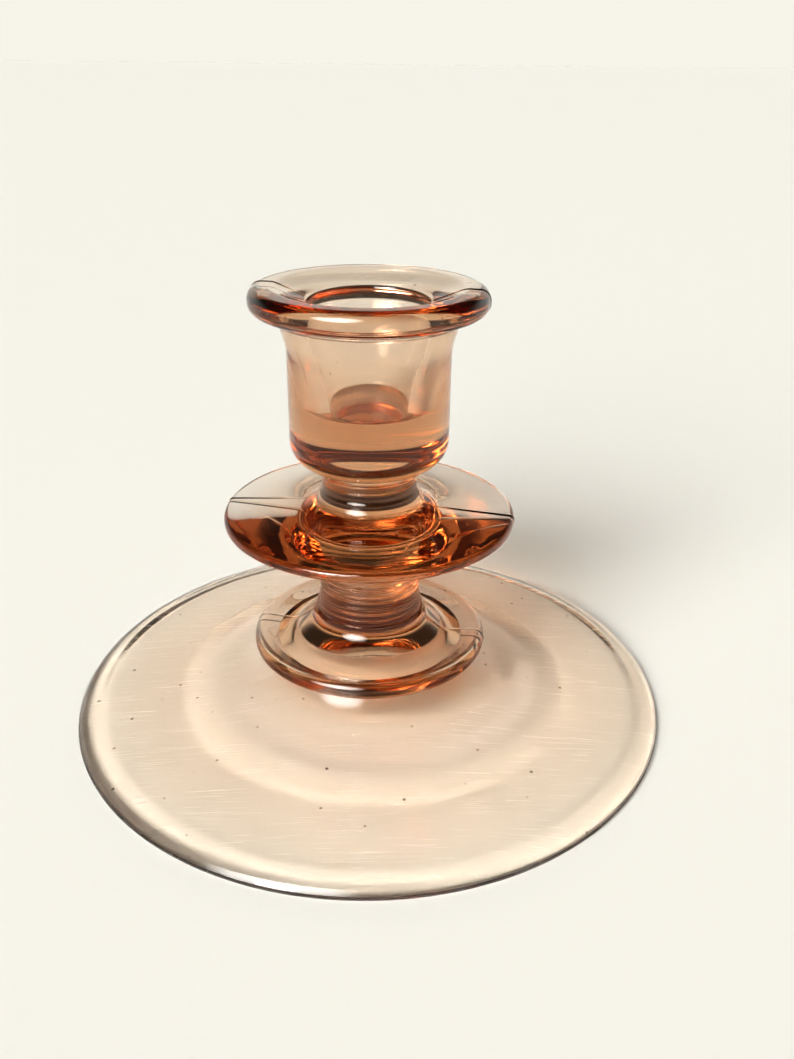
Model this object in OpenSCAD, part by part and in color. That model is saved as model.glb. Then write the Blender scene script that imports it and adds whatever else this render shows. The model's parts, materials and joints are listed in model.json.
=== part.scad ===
// Pressed glass candlestick: a wide foot, a solid stem with two discs, and a cup with a flanged rim.
// The object is one piece of glass. Each node is one formed section, and neighbours meet face to face.
// Every section is turned about Z. Z = 0 is the table, and the origin is the centre of the foot.

/* [Foot] */
// Radius of the foot at its edge
foot_r = 60; // [57:0.5:66]
// Height of the widest part of the foot's edge
foot_edge_h = 0.9; // [0.7:0.05:1.1]
// Width of the turned-down rim
foot_rim_w = 4.4; // [4:0.1:5]
// Height of the rim's inner shoulder
foot_shoulder_h = 3.05; // [2.8:0.05:3.3]
// Thickness of the glass at the joint of plate and dome
foot_plate_t = 2.8; // [2.4:0.1:3]

/* [Dome] */
// Height of the dome under the lower disc
dome_h = 12.9; // [12.4:0.1:14]
// Radius of the dome where it meets the lower disc
dome_top_r = 19; // [18.5:0.1:19.5]
// Radius of the hollow's rounded ceiling under the dome
hollow_r = 14.5; // [13:0.1:16]
// Height of the hollow's ceiling at the middle
hollow_h = 11.4; // [10.8:0.1:11.8]

/* [Lower disc] */
// How far the lower disc's edge stands out from the dome
lower_disc_lip = 4.5; // [4:0.1:5]
// Thickness of the lower disc at its edge
lower_disc_t = 3.45; // [3.2:0.05:4.2]

/* [Drip disc] */
// Radius of the drip disc
drip_disc_r = 28.1; // [25:0.1:31]
// Thickness of the drip disc at its edge
drip_disc_t = 1.8; // [1.75:0.05:2.4]
// Height of the underside of the drip disc's edge
drip_edge_h = 40.55; // [39.5:0.05:40.9]

/* [Stems] */
// Radius of the lower stem
lower_stem_r = 9.95; // [9:0.05:10.3]
// Radius of the upper stem
upper_stem_r = 9; // [8.6:0.05:9.05]
// Height at which the upper stem meets the cup
cup_base_h = 51.8; // [51.6:0.1:53]

/* [Cup] */
// Outer radius of the cup
cup_r = 15.05; // [15:0.05:15.8]
// Radius of the socket's mouth, for a candle 22.2 mm across
socket_r = 11.15; // [10.8:0.05:11.4]
// Radius of the socket at its floor
socket_floor_r = 7.9; // [7:0.1:8.6]
// Height of the socket's floor
socket_floor_h = 62.8; // [60:0.1:64]
// Height at which the socket stops narrowing and runs straight to its mouth
socket_throat_h = 79.6; // [78.8:0.1:80.4]

/* [Rim] */
// Radius of the flange round the mouth
flange_r = 21.6; // [20.5:0.1:23]
// Height of the top of the flange, which is the height of the candlestick
top_h = 85.25; // [85:0.05:86.5]
// Height of the mouth's edge inside the flange
mouth_h = 82.85; // [82.6:0.05:83.4]

/* [Hidden] */
$fn = 96;
glass = [0.93, 0.74, 0.62, 0.6];
corner_bite = 0.1;

// Heights of the joint faces between sections
lower_stem_base_h = 21;
drip_disc_base_h = 34;
upper_stem_base_h = 46.2;
cup_joint_h = 50.2;
rim_joint_h = 78.5;

// Radius of the joint between the foot's plate and its dome, and the slope of the foot's top
plate_joint_r = 40;
foot_slope = 0.0928;
foot_shoulder_r = foot_r - foot_rim_w;
plate_joint_h = foot_shoulder_h + foot_slope * (foot_shoulder_r - plate_joint_r);
underside_joint_h = plate_joint_h - foot_plate_t;

// Foot plate: the underside turns down to the narrow ring that the foot rests on
underside_turn_r = foot_r - 5.4;
underside_turn_h = 1.2;
rest_ring_r = foot_r - 1.4;
rest_edge_r = foot_r - 0.5;
nose_r = foot_r - 1.1;
nose_h = 2.2;

// Dome: the flare's two turns, the edge of the hollow's ceiling and the lower end of its wall
flare_foot_r = 34;
flare_foot_h = plate_joint_h + foot_slope * (plate_joint_r - flare_foot_r);
flare_turn_r = dome_top_r + 3.6;
flare_turn_h = 7.4;
ceiling_turn_r = 3;
hollow_edge_h = 8.9;
hollow_wall_r = 24;
hollow_wall_h = 4.5;

// Lower disc: the rolled edge, the shallow dish and the flare into the stem
lower_disc_r = dome_top_r + lower_disc_lip;
lower_disc_h = dome_h + lower_disc_t;
dish_outer_r = 20.3;
dish_inner_r = 15.5;
dish_drop = 0.65;
stem_flare_r = 11;
stem_flare_h = 19;
lower_waist_h = 25;
lower_stem_base_r = stem_flare_r - (stem_flare_r - lower_stem_r)
    * (lower_stem_base_h - stem_flare_h) / (lower_waist_h - stem_flare_h);

// Drip disc: the flare under it and the flare above it
under_flare_h = 31;
under_turn_r = 12.5;
under_turn_h = 36;
drip_disc_base_r = lower_stem_r + (under_turn_r - lower_stem_r)
    * (drip_disc_base_h - under_flare_h) / (under_turn_h - under_flare_h);
drip_top_h = drip_edge_h + drip_disc_t;
collar_r = 13;
collar_h = 43.3;
neck_turn_r = 10;
neck_turn_h = 44.6;
neck_top_h = 48;
upper_stem_base_r = neck_turn_r - (neck_turn_r - upper_stem_r)
    * (upper_stem_base_h - neck_turn_h) / (neck_top_h - neck_turn_h);

// Cup: the rounded base, the flare under the rim and the socket
cup_base_rise = 0.5;
cup_flare_h = 74.5;
rim_root_r = cup_r + 1.55;
rim_root_h = 79.9;
rim_joint_r = cup_r + (rim_root_r - cup_r) * (rim_joint_h - cup_flare_h) / (rim_root_h - cup_flare_h);
socket_taper = (socket_r - socket_floor_r) / (socket_throat_h - socket_floor_h);
socket_joint_r = socket_r - socket_taper * (socket_throat_h - rim_joint_h);

// Rim: the flange's edge and the dish down to the mouth
flange_under_h = 81.3;
flange_round = 1.95;
crest_r = 17.2;

// The sections from the foot up

// Outlines run anticlockwise. Each entry is [radius, height, corner radius].

// The point of entry i without its corner radius
function spot(line, i) = let (p = line[(i + len(line)) % len(line)]) [p[0], p[1]];

// The unit vector from entry i towards entry j
function towards(line, i, j) = let (v = spot(line, j) - spot(line, i)) v / norm(v);

// The distance from a corner to where its arc meets each side
function arc_reach(line, i) =
    let (a = towards(line, i, i - 1), b = towards(line, i, i + 1))
    line[i][2] * sqrt((1 + a * b) / (1 - a * b));

// The unit vector from a corner towards its arc's centre
function inward(line, i) =
    let (v = towards(line, i, i - 1) + towards(line, i, i + 1)) v / norm(v);

// The centre of a corner's arc
function arc_centre(line, i) =
    let (a = towards(line, i, i - 1), b = towards(line, i, i + 1))
    spot(line, i) + inward(line, i) * line[i][2] / sqrt((1 - a * b) / 2);

// More than 0 where the outline turns left, at a corner that stands out
function turn(line, i) =
    let (a = towards(line, i - 1, i), b = towards(line, i, i + 1))
    a[0] * b[1] - a[1] * b[0];

// The sliver between a corner and its arc, carried a little past the corner
module corner_sliver(line, i)
{
    reach = arc_reach(line, i);
    difference()
    {
        polygon([
            spot(line, i) + towards(line, i, i + 1) * reach,
            spot(line, i) - inward(line, i) * corner_bite,
            spot(line, i) + towards(line, i, i - 1) * reach
        ]);
        translate(arc_centre(line, i))
            circle(r = line[i][2]);
    }
}

// A section turned from its outline, with outer corners rounded off and inner corners filled in
module turned(line)
{
    color(glass)
        rotate_extrude()
            difference()
            {
                union()
                {
                    polygon([for (i = [0:len(line) - 1]) spot(line, i)]);
                    for (i = [0:len(line) - 1])
                        if (line[i][2] > 0 && turn(line, i) < 0)
                            corner_sliver(line, i);
                }
                for (i = [0:len(line) - 1])
                    if (line[i][2] > 0 && turn(line, i) > 0)
                        corner_sliver(line, i);
            }
}

// The wide thin foot, with its turned-down rim and the ring it rests on
module foot_plate()
{
    turned([
        [plate_joint_r, underside_joint_h, 0],
        [underside_turn_r, underside_turn_h, 3],
        [rest_ring_r, 0, 0],
        [rest_edge_r, 0, 0.25],
        [foot_r, foot_edge_h, 0.7],
        [nose_r, nose_h, 1.5],
        [foot_shoulder_r, foot_shoulder_h, 4],
        [plate_joint_r, plate_joint_h, 0]
    ]);
}

// The flare from the foot up to the lower disc, hollow underneath
module foot_dome()
{
    turned([
        [0, hollow_h, 0],
        [ceiling_turn_r, hollow_h, 20],
        [hollow_r, hollow_edge_h, 12],
        [hollow_wall_r, hollow_wall_h, 8],
        [plate_joint_r, underside_joint_h, 0],
        [plate_joint_r, plate_joint_h, 0],
        [flare_foot_r, flare_foot_h, 16],
        [flare_turn_r, flare_turn_h, 12],
        [dome_top_r, dome_h, 0],
        [0, dome_h, 0]
    ]);
}

// The lower disc, with a rolled edge and a shallow dish round the stem
module lower_disc()
{
    turned([
        [0, dome_h, 0],
        [lower_disc_r, dome_h, 1.4],
        [lower_disc_r, lower_disc_h, 1.8],
        [dish_outer_r, lower_disc_h, 3],
        [dish_inner_r, lower_disc_h - dish_drop, 4],
        [stem_flare_r, stem_flare_h, 3.5],
        [lower_stem_base_r, lower_stem_base_h, 0],
        [0, lower_stem_base_h, 0]
    ]);
}

// The stem between the two discs
module lower_stem()
{
    turned([
        [0, lower_stem_base_h, 0],
        [lower_stem_base_r, lower_stem_base_h, 0],
        [lower_stem_r, lower_waist_h, 8],
        [lower_stem_r, under_flare_h, 4],
        [drip_disc_base_r, drip_disc_base_h, 0],
        [0, drip_disc_base_h, 0]
    ]);
}

// The wide disc that catches drips, thick at the stem and thin at its edge
module drip_disc()
{
    turned([
        [0, drip_disc_base_h, 0],
        [drip_disc_base_r, drip_disc_base_h, 0],
        [under_turn_r, under_turn_h, 4],
        [drip_disc_r, drip_edge_h, 0.85],
        [drip_disc_r, drip_top_h, 0.85],
        [collar_r, collar_h, 3],
        [neck_turn_r, neck_turn_h, 2.8],
        [upper_stem_base_r, upper_stem_base_h, 0],
        [0, upper_stem_base_h, 0]
    ]);
}

// The short stem under the cup
module upper_stem()
{
    turned([
        [0, upper_stem_base_h, 0],
        [upper_stem_base_r, upper_stem_base_h, 0],
        [upper_stem_r, neck_top_h, 3],
        [upper_stem_r, cup_joint_h, 0],
        [0, cup_joint_h, 0]
    ]);
}

// The cup, with a thick floor and the tapered part of the candle socket
module candle_cup()
{
    turned([
        [0, cup_joint_h, 0],
        [upper_stem_r, cup_joint_h, 0],
        [upper_stem_r, cup_base_h, 1.5],
        [cup_r, cup_base_h + cup_base_rise, 5],
        [cup_r, cup_flare_h, 8],
        [rim_joint_r, rim_joint_h, 0],
        [socket_joint_r, rim_joint_h, 0],
        [socket_floor_r, socket_floor_h, 1.2],
        [0, socket_floor_h, 0]
    ]);
}

// The flanged rim, with a dished top and the straight throat of the socket
module cup_rim()
{
    turned([
        [socket_joint_r, rim_joint_h, 0],
        [rim_joint_r, rim_joint_h, 0],
        [rim_root_r, rim_root_h, 1.9],
        [flange_r, flange_under_h, flange_round],
        [flange_r, top_h, flange_round],
        [crest_r, top_h, 4],
        [socket_r, mouth_h, 0.9],
        [socket_r, socket_throat_h, 0]
    ]);
}

foot_plate();
foot_dome();
lower_disc();
lower_stem();
drip_disc();
upper_stem();
candle_cup();
cup_rim();
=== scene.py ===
import json
import math

import bpy
from mathutils import Matrix, Vector, noise


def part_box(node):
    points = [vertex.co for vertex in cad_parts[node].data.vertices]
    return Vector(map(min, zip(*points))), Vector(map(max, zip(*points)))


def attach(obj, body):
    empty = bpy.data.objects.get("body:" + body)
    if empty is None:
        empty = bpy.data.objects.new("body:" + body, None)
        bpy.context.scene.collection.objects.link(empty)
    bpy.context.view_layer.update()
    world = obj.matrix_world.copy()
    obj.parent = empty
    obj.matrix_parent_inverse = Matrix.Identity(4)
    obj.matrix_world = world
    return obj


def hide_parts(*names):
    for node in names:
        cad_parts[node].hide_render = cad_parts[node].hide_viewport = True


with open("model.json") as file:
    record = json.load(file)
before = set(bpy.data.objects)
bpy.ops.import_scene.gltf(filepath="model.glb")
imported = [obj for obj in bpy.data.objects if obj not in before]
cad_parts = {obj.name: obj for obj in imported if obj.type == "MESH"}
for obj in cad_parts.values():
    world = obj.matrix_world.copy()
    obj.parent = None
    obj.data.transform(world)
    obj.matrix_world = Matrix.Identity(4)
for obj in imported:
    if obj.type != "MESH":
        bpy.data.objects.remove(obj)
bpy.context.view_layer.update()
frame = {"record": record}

# Lengths are in millimetres and angles in degrees, unless a comment says otherwise
MM = 0.001

# A length below this counts as nothing
TINY = 1e-6

# What the face after an outline's corner is: formed by the mould, by the plunger or the base, or a joint
OUTER, INNER, JOINT = 0, 1, 2

# The gap between one section and the next, so that their joint faces don't coincide
JOINT_GAP = 0.004

# How finely the glass is followed: the angle to a step round a corner, the longest edge on plain glass and on
# ringed glass, and the angle from one rib to the next
ARC_STEP = 5
PLAIN_EDGE = 1.2
RINGED_EDGE = 0.2
TURN_STEP = 1.5

# Edges that bend by more than this are drawn sharp
SHARP_ANGLE = 40

# The mould's two seams, on opposite sides: where they are, their size, and the ribs to each side of them
SEAM_TURN = -9
SEAM_HEIGHT = 0.14
SEAM_WIDTH = 0.28
SEAM_STEPS = [0, 0.15, 0.3, 0.5, 0.75, 1.1, 1.6, 2.3, 3.2, 4.4, 6]

# The gentle unevenness of fire-polished glass
RIPPLE_HEIGHT = 0.035
RIPPLE_LENGTH = 9

# The fine rings that the mould leaves round the stems
RING_HEIGHT = 0.03
RING_SPACING = 1.25


def outer_radius(node):
    """The radius of a turned node in millimetres."""
    _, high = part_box(node)
    return max(high[0], high[1]) / MM


def heights(node):
    """The lowest and highest points of a node in millimetres."""
    low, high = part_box(node)
    return low[2] / MM, high[2] / MM


def arc_points(before, corner, after, radius):
    """Points along the arc that rounds a corner."""
    back = (before - corner).normalized()
    on = (after - corner).normalized()
    angle = back.angle(on)
    reach = radius / math.tan(angle / 2)
    centre = corner + (back + on).normalized() * radius / math.sin(angle / 2)
    first = corner + back * reach - centre
    last = corner + on * reach - centre
    turn = first.angle_signed(last)
    steps = max(2, math.ceil(math.degrees(abs(turn)) / ARC_STEP))
    start = math.atan2(first.y, first.x)
    angles = [start - turn * k / steps for k in range(steps + 1)]
    return [centre + radius * Vector((math.cos(a), math.sin(a))) for a in angles]


def follow(outline, closed, longest):
    """Turns an outline's corners into evenly spaced points, each with the kind of the face after it."""
    count = len(outline)
    places = [Vector(corner[:2]) for corner in outline]
    points = []
    for i, (_, _, radius, kind) in enumerate(outline):
        ends = not closed and i in (0, count - 1)
        if radius and not ends:
            rounding = arc_points(places[i - 1], places[i], places[(i + 1) % count], radius)
            arc_kind = OUTER if OUTER in (outline[i - 1][3], kind) else INNER
            points += [(p, arc_kind) for p in rounding[:-1]] + [(rounding[-1], kind)]
        else:
            points.append((places[i], kind))
    finished = []
    last = len(points) if closed else len(points) - 1
    for i in range(last):
        (start, kind), (end, _) = points[i], points[(i + 1) % len(points)]
        length = (end - start).length
        if length < TINY:
            continue
        pieces = 1 if kind == JOINT else math.ceil(length / longest)
        finished += [(start.lerp(end, k / pieces), kind) for k in range(pieces)]
    if not closed:
        finished.append(points[-1])
    return finished


def turn_angles():
    """The angles of a turned piece's ribs: even all round, and close together on each seam."""
    angles = set()
    for seam in (SEAM_TURN, SEAM_TURN + 180):
        for step in SEAM_STEPS:
            angles.add(seam + step)
            angles.add(seam - step)
        clear = SEAM_STEPS[-1]
        count = round((180 - 2 * clear) / TURN_STEP)
        for k in range(1, count):
            angles.add(seam + clear + k * (180 - 2 * clear) / count)
    return sorted(math.radians(a % 360) for a in angles)


def seam_height(angle, radius, seam):
    """How far the mould seam stands out at an angle and a radius; seam is its share of the full height."""
    off = (math.degrees(angle) - SEAM_TURN + 90) % 180 - 90
    across = math.radians(off) * radius
    return seam * SEAM_HEIGHT * math.exp(-(across / SEAM_WIDTH) ** 2)


def outward(points, i, closed):
    """The outline's outward direction at a point, from the faces beside it that aren't joints."""
    count = len(points)
    total = Vector((0, 0))
    for a, b in ((i - 1, i), (i, i + 1)):
        if not closed and (a < 0 or b > count - 1):
            continue
        (start, kind), (end, _) = points[a % count], points[b % count]
        if kind != JOINT:
            along = (end - start).normalized()
            total += Vector((along.y, -along.x))
    return total.normalized() if total.length else total


def surface_point(place, angle, out, moulded, seam, rings):
    """A point of the glass in metres, with its ripple and, where the mould formed it, its seam and rings."""
    spot = Vector((place.x * math.cos(angle), place.x * math.sin(angle), place.y))
    wave = noise.noise(spot / RIPPLE_LENGTH)
    height = RIPPLE_HEIGHT * wave
    if moulded:
        height += seam_height(angle, place.x, seam)
        height += rings * math.sin(math.tau * place.y / RING_SPACING + wave)
    radius = place.x + out.x * height
    return Vector((radius * math.cos(angle), radius * math.sin(angle), place.y + out.y * height)) * MM


def turned_piece(name, outline, seam, closed=False, rings=0.0):
    """A solid of glass turned about Z from an outline, with seams, ripples, rings and marked joint faces."""
    points = follow(outline, closed, RINGED_EDGE if rings else PLAIN_EDGE)
    angles = turn_angles()
    ribs = len(angles)
    verts = []
    loops = []
    for i, (place, kind) in enumerate(points):
        if place.x < TINY:
            loops.append([len(verts)])
            verts.append(Vector((0, 0, place.y)) * MM)
            continue
        loops.append(range(len(verts), len(verts) + ribs))
        out = outward(points, i, closed)
        before = points[i - 1][1] if closed or i else kind
        moulded = OUTER in (before, kind)
        verts += [surface_point(place, angle, out, moulded, seam, rings) for angle in angles]

    faces = []
    joints = []
    next_loops = loops[1:] + loops[:1] if closed else loops[1:]
    for low, high, (_, kind) in zip(loops, next_loops, points):
        for k in range(ribs):
            k2 = (k + 1) % ribs
            if len(low) == 1:
                faces.append((low[0], high[k2], high[k]))
            elif len(high) == 1:
                faces.append((low[k], low[k2], high[0]))
            else:
                faces.append((low[k], low[k2], high[k2], high[k]))
            joints.append(1.0 if kind == JOINT else 0.0)

    mesh = bpy.data.meshes.new(name)
    mesh.from_pydata(verts, [], faces)
    mesh.attributes.new("joint", "FLOAT", "FACE").data.foreach_set("value", joints)
    mesh.polygons.foreach_set("use_smooth", [True] * len(faces))
    mesh.set_sharp_from_angle(angle=math.radians(SHARP_ANGLE))
    mesh.update()
    piece = bpy.data.objects.new(name, mesh)
    bpy.context.scene.collection.objects.link(piece)
    return piece


def between(low, high, height):
    """The radius at a height on the straight stretch between two corners."""
    return low[0] + (high[0] - low[0]) * (height - low[1]) / (high[1] - low[1])


# The candlestick's radii and heights, as its CAD sections and its record give them
FOOT_R = outer_radius("foot_plate")
PLATE_R = outer_radius("foot_dome")
PLATE_TOP_H = heights("foot_plate")[1]
DOME_H = heights("foot_dome")[1]
LOWER_DISC_R = outer_radius("lower_disc")
STEM_BASE_H, STEM_TOP_H = heights("lower_stem")
DRIP_R = outer_radius("drip_disc")
NECK_BASE_H, NECK_TOP_H = heights("upper_stem")
CUP_TOP_H = heights("candle_cup")[1]
FLANGE_R = outer_radius("cup_rim")
TOP_H = heights("cup_rim")[1]
SOCKET_R = frame["record"]["mounts"][0]["dims"]["r_mm"]

# Corners of the outlines, each as (radius, height, corner radius), with the sizes behind them.
# A name that ends in R is a radius, H a height, T a thickness and W a width

# Foot: its underside, the ring it rests on, its rim, and its slope up to the dome
PLATE_T = 2.8
PLATE_UNDER_H = PLATE_TOP_H - PLATE_T
UNDERSIDE_TURN = (FOOT_R - 5.4, 1.2, 3)
RING_R = FOOT_R - 1.4
RING_EDGE = (FOOT_R - 0.5, 0, 0.25)
FOOT_EDGE = (FOOT_R, 0.9, 0.7)
NOSE = (FOOT_R - 1.1, 2.2, 1.5)
FOOT_SLOPE = 0.0928
RIM_W = 4.4
SHOULDER_R = FOOT_R - RIM_W
SHOULDER = (SHOULDER_R, PLATE_TOP_H - FOOT_SLOPE * (SHOULDER_R - PLATE_R), 4)

# Dome: the hollow under it, its flare, and how far the lower disc overhangs it
CEILING_H = 11.4
CEILING_EDGE = (3, CEILING_H, 20)
HOLLOW_EDGE = (14.5, 8.9, 12)
HOLLOW_WALL = (24, 4.5, 8)
FLARE_R = 34
FLARE_FOOT = (FLARE_R, PLATE_TOP_H + FOOT_SLOPE * (PLATE_R - FLARE_R), 16)
OVERHANG = 4.5
DOME_R = LOWER_DISC_R - OVERHANG
FLARE_TURN = (DOME_R + 3.6, 7.4, 12)

# Lower disc: its rolled edge, its dish, and its flare into the stem
LOWER_DISC_T = 3.45
LOWER_DISC_H = DOME_H + LOWER_DISC_T
LOWER_DISC_UNDER = (LOWER_DISC_R, DOME_H, 1.4)
LOWER_DISC_TOP = (LOWER_DISC_R, LOWER_DISC_H, 1.8)
DISH_DROP = 0.65
DISH_EDGE = (20.3, LOWER_DISC_H, 3)
DISH_MIDDLE = (15.5, LOWER_DISC_H - DISH_DROP, 4)
STEM_FLARE = (11, 19, 3.5)

# Lower stem
STEM_R = 9.95
STEM_WAIST = (STEM_R, 25, 8)
UNDER_FLARE = (STEM_R, 31, 4)

# Drip disc: its conical underside, its edge, and the collar round the upper stem
UNDER_TURN = (12.5, 36, 4)
DRIP_EDGE_H, DRIP_T = 40.55, 1.8
DRIP_UNDER = (DRIP_R, DRIP_EDGE_H, 0.85)
DRIP_TOP = (DRIP_R, DRIP_EDGE_H + DRIP_T, 0.85)
COLLAR = (13, 43.3, 3)
NECK_TURN = (10, 44.6, 2.8)

# Upper stem
NECK_R = 9
NECK_WAIST = (NECK_R, 48, 3)

# Cup: its base, its wall, and the floor of its socket
CUP_ROOT = (NECK_R, 51.8, 1.5)
CUP_R = 15.05
CUP_BASE = (CUP_R, 52.3, 5)
CUP_FLARE = (CUP_R, 74.5, 8)
FLOOR_H = 62.8
SOCKET_FLOOR = (7.9, FLOOR_H, 1.2)

# Rim: its flange, its crest, and the mouth and throat of the socket
RIM_ROOT = (16.6, 79.9, 1.9)
FLANGE_UNDER = (FLANGE_R, 81.3, 1.95)
FLANGE_TOP = (FLANGE_R, TOP_H, 1.95)
CREST = (17.2, TOP_H, 4)
MOUTH = (SOCKET_R, 82.85, 0.9)
THROAT = (SOCKET_R, 79.6, 0)

# The radii at which one section meets the next
STEM_BASE_R = between(STEM_FLARE, STEM_WAIST, STEM_BASE_H)
STEM_TOP_R = between(UNDER_FLARE, UNDER_TURN, STEM_TOP_H)
NECK_BASE_R = between(NECK_TURN, NECK_WAIST, NECK_BASE_H)
CUP_TOP_R = between(CUP_FLARE, RIM_ROOT, CUP_TOP_H)
SOCKET_TOP_R = between(SOCKET_FLOOR, THROAT, CUP_TOP_H)


# Each outline runs anticlockwise, as (radius, height, corner radius, kind of the face that follows)
def foot_plate():
    """The wide thin foot, with its turned-down rim and the ring it rests on."""
    return turned_piece("pressed_foot_plate", [
        (PLATE_R + JOINT_GAP, PLATE_UNDER_H, 0, INNER),
        (*UNDERSIDE_TURN, INNER),
        (RING_R, 0, 0, INNER),
        (*RING_EDGE, OUTER),
        (*FOOT_EDGE, OUTER),
        (*NOSE, OUTER),
        (*SHOULDER, OUTER),
        (PLATE_R + JOINT_GAP, PLATE_TOP_H, 0, JOINT),
    ], seam=0.0, closed=True)


def foot_dome():
    """The flare from the foot up to the lower disc, hollow underneath."""
    return turned_piece("pressed_foot_dome", [
        (0, CEILING_H, 0, INNER),
        (*CEILING_EDGE, INNER),
        (*HOLLOW_EDGE, INNER),
        (*HOLLOW_WALL, INNER),
        (PLATE_R, PLATE_UNDER_H, 0, JOINT),
        (PLATE_R, PLATE_TOP_H, 0, OUTER),
        (*FLARE_FOOT, OUTER),
        (*FLARE_TURN, OUTER),
        (DOME_R, DOME_H - JOINT_GAP, 0, JOINT),
        (0, DOME_H - JOINT_GAP, 0, JOINT),
    ], seam=0.0)


def lower_disc():
    """The lower disc, with a rolled edge and a shallow dish round the stem."""
    return turned_piece("pressed_lower_disc", [
        (0, DOME_H, 0, JOINT),
        (DOME_R, DOME_H, 0, OUTER),
        (*LOWER_DISC_UNDER, OUTER),
        (*LOWER_DISC_TOP, OUTER),
        (*DISH_EDGE, OUTER),
        (*DISH_MIDDLE, OUTER),
        (*STEM_FLARE, OUTER),
        (STEM_BASE_R, STEM_BASE_H - JOINT_GAP, 0, JOINT),
        (0, STEM_BASE_H - JOINT_GAP, 0, JOINT),
    ], seam=0.7)


def lower_stem():
    """The stem between the two discs."""
    return turned_piece("pressed_lower_stem", [
        (0, STEM_BASE_H, 0, JOINT),
        (STEM_BASE_R, STEM_BASE_H, 0, OUTER),
        (*STEM_WAIST, OUTER),
        (*UNDER_FLARE, OUTER),
        (STEM_TOP_R, STEM_TOP_H - JOINT_GAP, 0, JOINT),
        (0, STEM_TOP_H - JOINT_GAP, 0, JOINT),
    ], seam=0.3, rings=RING_HEIGHT)


def drip_disc():
    """The wide disc that catches drips, thick at the stem and thin at its edge."""
    return turned_piece("pressed_drip_disc", [
        (0, STEM_TOP_H, 0, JOINT),
        (STEM_TOP_R, STEM_TOP_H, 0, OUTER),
        (*UNDER_TURN, OUTER),
        (*DRIP_UNDER, OUTER),
        (*DRIP_TOP, OUTER),
        (*COLLAR, OUTER),
        (*NECK_TURN, OUTER),
        (NECK_BASE_R, NECK_BASE_H - JOINT_GAP, 0, JOINT),
        (0, NECK_BASE_H - JOINT_GAP, 0, JOINT),
    ], seam=1.0)


def upper_stem():
    """The short stem under the cup."""
    return turned_piece("pressed_upper_stem", [
        (0, NECK_BASE_H, 0, JOINT),
        (NECK_BASE_R, NECK_BASE_H, 0, OUTER),
        (*NECK_WAIST, OUTER),
        (NECK_R, NECK_TOP_H - JOINT_GAP, 0, JOINT),
        (0, NECK_TOP_H - JOINT_GAP, 0, JOINT),
    ], seam=0.3, rings=RING_HEIGHT)


def candle_cup():
    """The cup, with a thick floor and the tapered part of the candle socket."""
    return turned_piece("pressed_candle_cup", [
        (0, NECK_TOP_H, 0, JOINT),
        (NECK_R, NECK_TOP_H, 0, OUTER),
        (*CUP_ROOT, OUTER),
        (*CUP_BASE, OUTER),
        (*CUP_FLARE, OUTER),
        (CUP_TOP_R, CUP_TOP_H - JOINT_GAP, 0, JOINT),
        (SOCKET_TOP_R, CUP_TOP_H - JOINT_GAP, 0, INNER),
        (*SOCKET_FLOOR, INNER),
        (0, FLOOR_H, 0, INNER),
    ], seam=0.2)


def cup_rim():
    """The flanged rim, with a dished top and the straight throat of the socket."""
    return turned_piece("pressed_cup_rim", [
        (SOCKET_TOP_R, CUP_TOP_H, 0, JOINT),
        (CUP_TOP_R, CUP_TOP_H, 0, OUTER),
        (*RIM_ROOT, OUTER),
        (*FLANGE_UNDER, OUTER),
        (*FLANGE_TOP, OUTER),
        (*CREST, OUTER),
        (*MOUTH, INNER),
        (*THROAT, INNER),
    ], seam=1.0, closed=True)


SECTIONS = {
    "foot_plate": foot_plate,
    "foot_dome": foot_dome,
    "lower_disc": lower_disc,
    "lower_stem": lower_stem,
    "drip_disc": drip_disc,
    "upper_stem": upper_stem,
    "candle_cup": candle_cup,
    "cup_rim": cup_rim,
}


def combined(nodes, links, operation, first, second):
    """A socket with two values combined by a maths operation."""
    both = nodes.new("ShaderNodeMath")
    both.operation = operation
    links.new(first, both.inputs[0])
    links.new(second, both.inputs[1])
    return both.outputs["Value"]


def faded(nodes, links, value, start, end, low=0.0, high=1.0, smooth=False):
    """A socket that goes from low to high as a value goes from start to end."""
    fade = nodes.new("ShaderNodeMapRange")
    fade.interpolation_type = "SMOOTHSTEP" if smooth else "LINEAR"
    fade.inputs["From Min"].default_value = start
    fade.inputs["From Max"].default_value = end
    fade.inputs["To Min"].default_value = low
    fade.inputs["To Max"].default_value = high
    links.new(value, fade.inputs["Value"])
    return fade.outputs["Result"]


def clouds(nodes, links, place, scale, detail):
    """A socket with soft noise over the places that another socket gives."""
    cloud = nodes.new("ShaderNodeTexNoise")
    cloud.inputs["Scale"].default_value = scale
    cloud.inputs["Detail"].default_value = detail
    links.new(place, cloud.inputs["Vector"])
    return cloud.outputs["Fac"]


def laid_over(nodes, links, mask, under, colour):
    """A socket with a colour laid over a colour or another socket where the mask is 1."""
    mix = nodes.new("ShaderNodeMix")
    mix.data_type = "RGBA"
    links.new(mask, mix.inputs["Factor"])
    a, b = [socket for socket in mix.inputs if socket.type == "RGBA"]
    if isinstance(under, tuple):
        a.default_value = (*under, 1)
    else:
        links.new(under, a)
    b.default_value = (*colour, 1)
    return next(socket for socket in mix.outputs if socket.type == "RGBA")


# Glass: how it bends light, and the tint that grows with its depth
GLASS_IOR = 1.52
TINT, TINT_DENSITY = (0.787, 0.443, 0.095), 75

# Marks on the glass come from noise of a scale and a level of detail. A mark fades in as the noise goes from
# one value to another, and where it is full it gives the glass its roughness

# Colour: clear, with slightly browner patches, and with specks, given by how close-set they are and by the
# distances from a speck's middle between which it fades
CLEAR, PATCH = (1, 1, 1), (0.99, 0.975, 0.965)
PATCH_SCALE, PATCH_DETAIL = 28, 3
SPECK = (0.1, 0.07, 0.05)
SPECK_SCALE, SPECK_FADE = 170, (0.03, 0.075)

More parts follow.
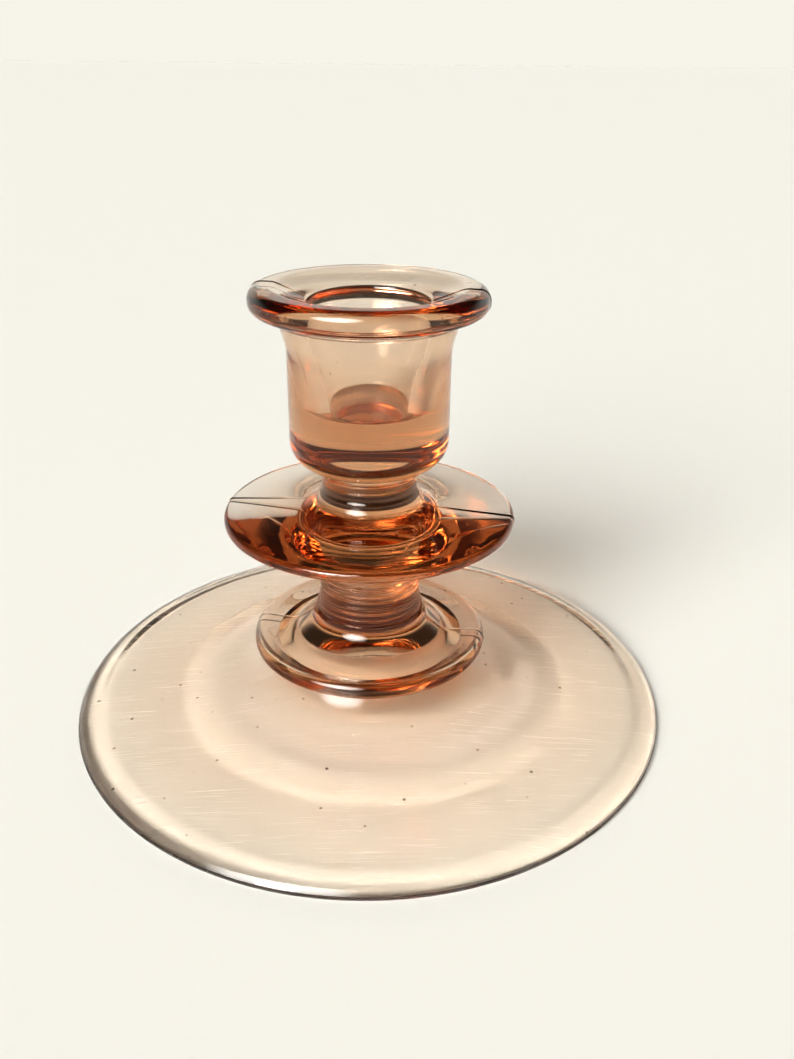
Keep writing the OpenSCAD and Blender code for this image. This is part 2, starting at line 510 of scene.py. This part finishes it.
# Smudges from handling
SMUDGE_SCALE, SMUDGE_DETAIL = 90, 4
SMUDGE_FADE, SMUDGE_ROUGH = (0.58, 0.85), 0.06

# Scratches from cleaning: their two directions in radians, how slender they are, and the heights between
# which they fade out above the foot
SCRATCH_TURNS, SCRATCH_SLENDER = (0.5, 2.1), 60
SCRATCH_SCALE, SCRATCH_DETAIL = 75, 1
SCRATCH_FADE, SCRATCH_ROUGH = (0.7, 0.73), 0.35
SCRATCH_END = (6, 9)

# Scuffs from tables, which fade out between these heights
SCUFF_END, SCUFF_ROUGH = (0.05, 0.3), 0.3

# The skin's fine ripples, with their depth
SKIN_SCALE, SKIN_DETAIL = 420, 2
SKIN_STRENGTH, SKIN_DEPTH = 0.15, 0.05


def glass_colour(nodes, links, place):
    """A slightly uneven colour, with specks of dirt and seeds in the glass."""
    patch = clouds(nodes, links, place, PATCH_SCALE, PATCH_DETAIL)
    uneven = laid_over(nodes, links, patch, CLEAR, PATCH)
    seed = nodes.new("ShaderNodeTexVoronoi")
    seed.inputs["Scale"].default_value = SPECK_SCALE
    links.new(place, seed.inputs["Vector"])
    speck = faded(nodes, links, seed.outputs["Distance"], *SPECK_FADE, low=1, high=0)
    return laid_over(nodes, links, speck, uneven, SPECK)


def glass_roughness(nodes, links, place):
    """Faint smudges from handling, fine scratches on the foot, and scuffs close to the table."""
    split = nodes.new("ShaderNodeSeparateXYZ")
    links.new(place, split.inputs["Vector"])
    height = split.outputs["Z"]
    smudge = clouds(nodes, links, place, SMUDGE_SCALE, SMUDGE_DETAIL)
    worn = faded(nodes, links, smudge, *SMUDGE_FADE, high=SMUDGE_ROUGH)
    on_foot = faded(nodes, links, height, *(h * MM for h in SCRATCH_END), low=1, high=0)
    for turn in SCRATCH_TURNS:
        grain = nodes.new("ShaderNodeMapping")
        grain.inputs["Rotation"].default_value = (0, 0, turn)
        grain.inputs["Scale"].default_value = (1, SCRATCH_SLENDER, 1)
        links.new(place, grain.inputs["Vector"])
        streak = clouds(nodes, links, grain.outputs["Vector"], SCRATCH_SCALE, SCRATCH_DETAIL)
        scratch = faded(nodes, links, streak, *SCRATCH_FADE, high=SCRATCH_ROUGH)
        worn = combined(nodes, links, "MAXIMUM", worn, combined(nodes, links, "MULTIPLY", scratch, on_foot))
    scuff = faded(nodes, links, height, *(h * MM for h in SCUFF_END), low=SCUFF_ROUGH, high=0)
    return combined(nodes, links, "MAXIMUM", worn, scuff)


def glass_skin(nodes, links, place):
    """Fine ripples from the mould's skin."""
    bump = nodes.new("ShaderNodeBump")
    bump.inputs["Strength"].default_value = SKIN_STRENGTH
    bump.inputs["Distance"].default_value = SKIN_DEPTH * MM
    links.new(clouds(nodes, links, place, SKIN_SCALE, SKIN_DETAIL), bump.inputs["Height"])
    return bump.outputs["Normal"]


def pressed_glass():
    """Pale amber glass: clear through the joints, tinted by its depth, with specks, wear and ripples."""
    mat = bpy.data.materials.new("pressed_glass")
    mat.use_nodes = True
    nodes, links = mat.node_tree.nodes, mat.node_tree.links
    bsdf = nodes["Principled BSDF"]
    bsdf.inputs["Transmission Weight"].default_value = 1
    bsdf.inputs["IOR"].default_value = GLASS_IOR

    # Nothing shows where one section joins the next, because the real glass is whole there
    joint = nodes.new("ShaderNodeAttribute")
    joint.attribute_name = "joint"
    links.new(faded(nodes, links, joint.outputs["Fac"], 0, 1, low=1, high=0), bsdf.inputs["Alpha"])

    depth = nodes.new("ShaderNodeVolumeAbsorption")
    depth.inputs["Color"].default_value = (*TINT, 1)
    depth.inputs["Density"].default_value = TINT_DENSITY
    links.new(depth.outputs["Volume"], nodes["Material Output"].inputs["Volume"])

    place = nodes.new("ShaderNodeNewGeometry").outputs["Position"]
    links.new(glass_colour(nodes, links, place), bsdf.inputs["Base Color"])
    links.new(glass_roughness(nodes, links, place), bsdf.inputs["Roughness"])
    links.new(glass_skin(nodes, links, place), bsdf.inputs["Normal"])
    return mat


# Floor: half its width in metres, how far it lies under the foot, and its look
FLOOR_HALF = 20.0
FLOOR_DROP = 0.02
FLOOR_COLOUR = (0.86, 0.86, 0.82)
FLOOR_ROUGH, FLOOR_SHINE = 0.9, 0.1


def pale_floor():
    """A wide plain floor."""
    corners = [(x * FLOOR_HALF, y * FLOOR_HALF, 0) for x, y in ((-1, -1), (1, -1), (1, 1), (-1, 1))]
    mesh = bpy.data.meshes.new("floor")
    mesh.from_pydata(corners, [], [(0, 1, 2, 3)])
    floor = bpy.data.objects.new("floor", mesh)
    floor.location.z = -FLOOR_DROP * MM
    bpy.context.scene.collection.objects.link(floor)
    mat = bpy.data.materials.new("floor_paper")
    mat.use_nodes = True
    bsdf = mat.node_tree.nodes["Principled BSDF"]
    bsdf.inputs["Base Color"].default_value = (*FLOOR_COLOUR, 1)
    bsdf.inputs["Roughness"].default_value = FLOOR_ROUGH
    bsdf.inputs["Specular IOR Level"].default_value = FLOOR_SHINE
    mesh.materials.append(mat)


# Window: its place, what it faces and its size in metres, its watts and its colour
WINDOW_PLACE, WINDOW_TARGET = (-0.72, -1.15, 0.78), (0, 0, 0.04)
WINDOW_SIZE, WINDOW_POWER = (0.34, 0.2), 8
WINDOW_COLOUR = (1, 0.98, 0.94)


def window():
    """A small window in front on the left, which shows in the glass and doesn't light the floor."""
    light = bpy.data.lights.new("window", "AREA")
    light.shape = "RECTANGLE"
    light.size, light.size_y = WINDOW_SIZE
    light.energy = WINDOW_POWER
    light.color = WINDOW_COLOUR
    pane = bpy.data.objects.new("window", light)
    facing = Vector(WINDOW_TARGET) - Vector(WINDOW_PLACE)
    pane.location = WINDOW_PLACE
    pane.rotation_euler = facing.to_track_quat("-Z", "Y").to_euler()
    pane.visible_diffuse = False
    bpy.context.scene.collection.objects.link(pane)


# Room: a glow in front on the left, which gives most of the light, and the colours of the rest
GLOW_FROM, GLOW = (-0.46, -0.73, 0.5), (14.6, 14.4, 13.8)
DARK_ROOM, DIM_WALL, PALE_WALL = (0.05, 0.045, 0.04), (0.5, 0.49, 0.46), (0.777, 0.76, 0.69)

# Where each of them fades in, on a sphere of radius 1: the dim walls and the top of the pale one by their
# height, the sides of the pale one by how far back they are, and the glow by the cosine of the angle from its
# middle
DIM_FADE, PALE_TOP_FADE, PALE_SIDE_FADE = (0.25, 0.05), (0.5, 0.22), (0.2, 0.75)
GLOW_FADE = (0.9, 0.985)


def room():
    """A dark room with dim walls low down all round, a pale wall behind, and a bright glow in front."""
    world = bpy.data.worlds.new("room")
    bpy.context.scene.world = world
    world.use_nodes = True
    nodes, links = world.node_tree.nodes, world.node_tree.links
    direction = nodes.new("ShaderNodeTexCoord").outputs["Generated"]
    split = nodes.new("ShaderNodeSeparateXYZ")
    links.new(direction, split.inputs["Vector"])
    dim = faded(nodes, links, split.outputs["Z"], *DIM_FADE, smooth=True)
    pale_top = faded(nodes, links, split.outputs["Z"], *PALE_TOP_FADE, smooth=True)
    pale_side = faded(nodes, links, split.outputs["Y"], *PALE_SIDE_FADE, smooth=True)
    pale = combined(nodes, links, "MULTIPLY", pale_side, pale_top)
    towards = nodes.new("ShaderNodeVectorMath")
    towards.operation = "DOT_PRODUCT"
    towards.inputs[1].default_value = Vector(GLOW_FROM).normalized()
    links.new(direction, towards.inputs[0])
    bright = faded(nodes, links, towards.outputs["Value"], *GLOW_FADE, smooth=True)
    colour = laid_over(nodes, links, dim, DARK_ROOM, DIM_WALL)
    colour = laid_over(nodes, links, pale, colour, PALE_WALL)
    colour = laid_over(nodes, links, bright, colour, GLOW)
    links.new(colour, nodes["Background"].inputs["Color"])


# Camera: its distance in front and its height, its angles, its lens and sensor, and the distances in metres
# between which it sees
EYE_AHEAD, EYE_HEIGHT = 175.6, 121.6
PITCH, YAW, ROLL = 25.61, 1.77, 0.63
LENS, SENSOR = 44.669, 36
NEAR, FAR = 0.005, 100


def camera():
    """A camera in front and above, looking down at the candlestick."""
    pitch, yaw, roll = math.radians(PITCH), math.radians(YAW), math.radians(ROLL)
    forward = Vector((math.sin(yaw) * math.cos(pitch), math.cos(yaw) * math.cos(pitch), -math.sin(pitch)))
    level = Vector((math.cos(yaw), -math.sin(yaw), 0))
    upright = level.cross(forward)
    right = level * math.cos(roll) + upright * math.sin(roll)
    up = upright * math.cos(roll) - level * math.sin(roll)
    data = bpy.data.cameras.new("camera")
    data.sensor_fit = "HORIZONTAL"
    data.sensor_width = SENSOR
    data.lens = LENS
    data.clip_start = NEAR
    data.clip_end = FAR
    eye = bpy.data.objects.new("camera", data)
    turn = Matrix((right, up, -forward)).transposed().to_4x4()
    eye.matrix_world = Matrix.Translation((0, -EYE_AHEAD * MM, EYE_HEIGHT * MM)) @ turn
    bpy.context.scene.collection.objects.link(eye)
    bpy.context.scene.camera = eye


def look():
    """The picture's contrast, and enough bounces for light to pass through the thick glass."""
    scene = bpy.context.scene
    scene.view_settings.view_transform = "Standard"
    scene.view_settings.look = "Medium High Contrast"
    scene.cycles.max_bounces = 24
    scene.cycles.transmission_bounces = 24
    scene.cycles.glossy_bounces = 8
    scene.cycles.transparent_max_bounces = 32
    scene.cycles.volume_bounces = 0
    scene.cycles.caustics_refractive = True
    scene.cycles.caustics_reflective = True
    scene.cycles.blur_glossy = 0
    scene.cycles.sample_clamp_indirect = 0
    scene.cycles.use_denoising = True


camera()
glass = pressed_glass()
for node, make in SECTIONS.items():
    section = make()
    section.data.materials.append(glass)
    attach(section, "root")
    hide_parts(node)

pale_floor()
window()
room()
look()
